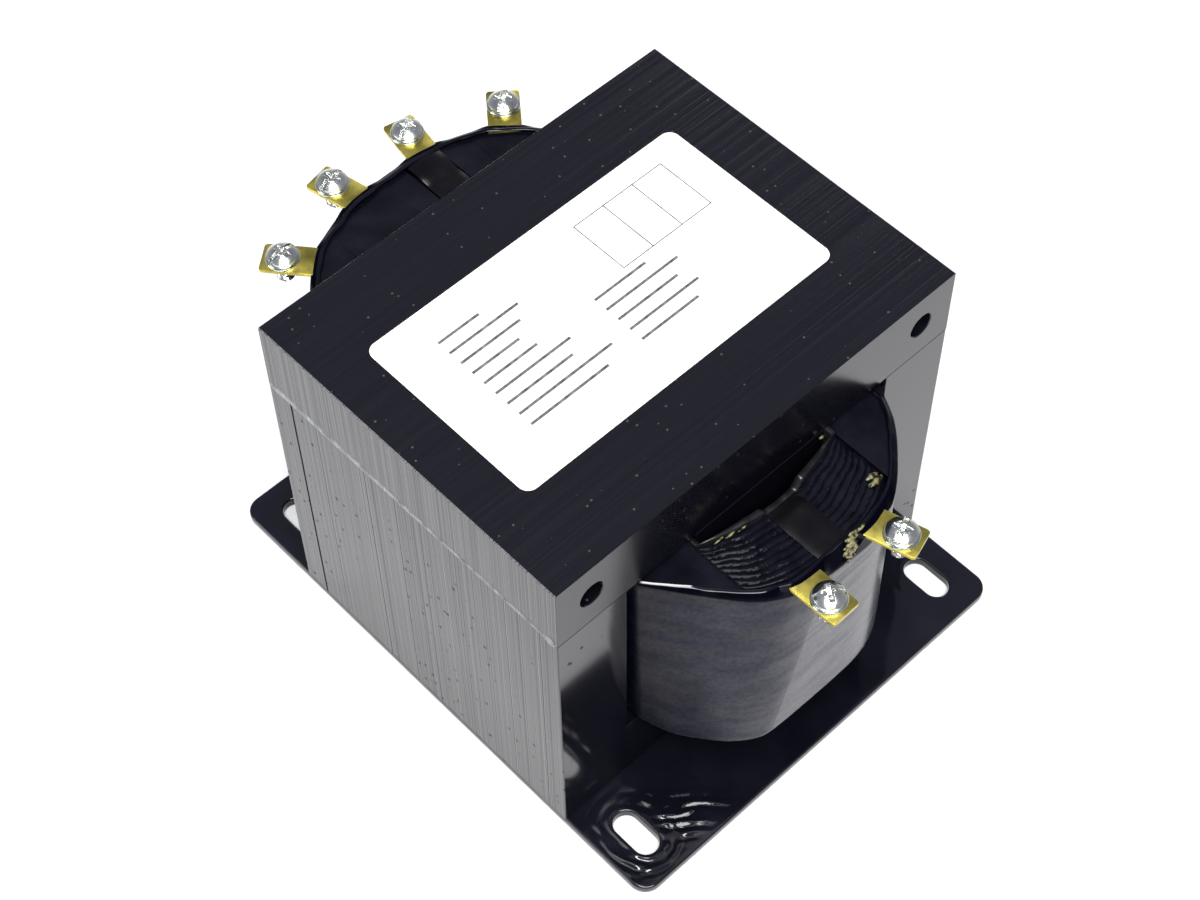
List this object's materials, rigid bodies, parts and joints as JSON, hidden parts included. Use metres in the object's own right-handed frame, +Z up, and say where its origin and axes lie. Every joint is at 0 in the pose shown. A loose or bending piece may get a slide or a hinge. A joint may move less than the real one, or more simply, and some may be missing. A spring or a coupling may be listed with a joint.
{
  "type": "industrial control transformer",
  "caption": "Open-core industrial control transformer: welded E-I lamination stack on a slotted foot plate, layer-wound coil, and brass screw terminals at both ends.",
  "frame": {"origin": "middle of the underside of the foot plate", "axes": "X runs through the lamination stack, with the secondary end at +X; Y runs across the laminations; Z is up"},
  "size_m": [0.1913, 0.1342, 0.1138],
  "materials": {
    "plate_varnish": "thick glossy black varnish with runs",
    "core_varnish": "black varnish over lamination edges",
    "weld_varnish": "weld bead under black varnish",
    "former_paper": "varnish-soaked board",
    "winding_varnish": "varnish-soaked layer edges",
    "end_paper": "varnish-soaked insulating paper and tape",
    "wrap_varnish": "satin black varnished wrap",
    "terminal_brass": "plain stamped brass",
    "terminal_zinc": "bright zinc plate",
    "rating_label": "matt coated label stock"
  },
  "bodies": {
    "root": {"foot_plate": "plate_varnish", "core_e_stack": "core_varnish", "core_i_stack": "core_varnish", "seam_weld_left": "weld_varnish", "seam_weld_right": "weld_varnish", "coil_former": "former_paper", "secondary_winding": "winding_varnish", "primary_winding": "winding_varnish", "winding_barrier": "end_paper", "window_paper_left": "end_paper", "window_paper_right": "end_paper", "primary_end_paper_left": "end_paper", "primary_end_paper_right": "end_paper", "secondary_strap": "end_paper", "primary_strap": "end_paper", "coil_wrap": "wrap_varnish", "primary_tab_1": "terminal_brass", "primary_tab_2": "terminal_brass", "primary_tab_3": "terminal_brass", "primary_tab_4": "terminal_brass", "secondary_tab_1": "terminal_brass", "secondary_tab_2": "terminal_brass", "primary_washer_1": "terminal_zinc", "primary_washer_2": "terminal_zinc", "primary_washer_3": "terminal_zinc", "primary_washer_4": "terminal_zinc", "primary_screw_1": "terminal_zinc", "primary_screw_2": "terminal_zinc", "primary_screw_3": "terminal_zinc", "primary_screw_4": "terminal_zinc", "secondary_washer_1": "terminal_zinc", "secondary_washer_2": "terminal_zinc", "secondary_screw_1": "terminal_zinc", "secondary_screw_2": "terminal_zinc"}
  },
  "joints": []
}
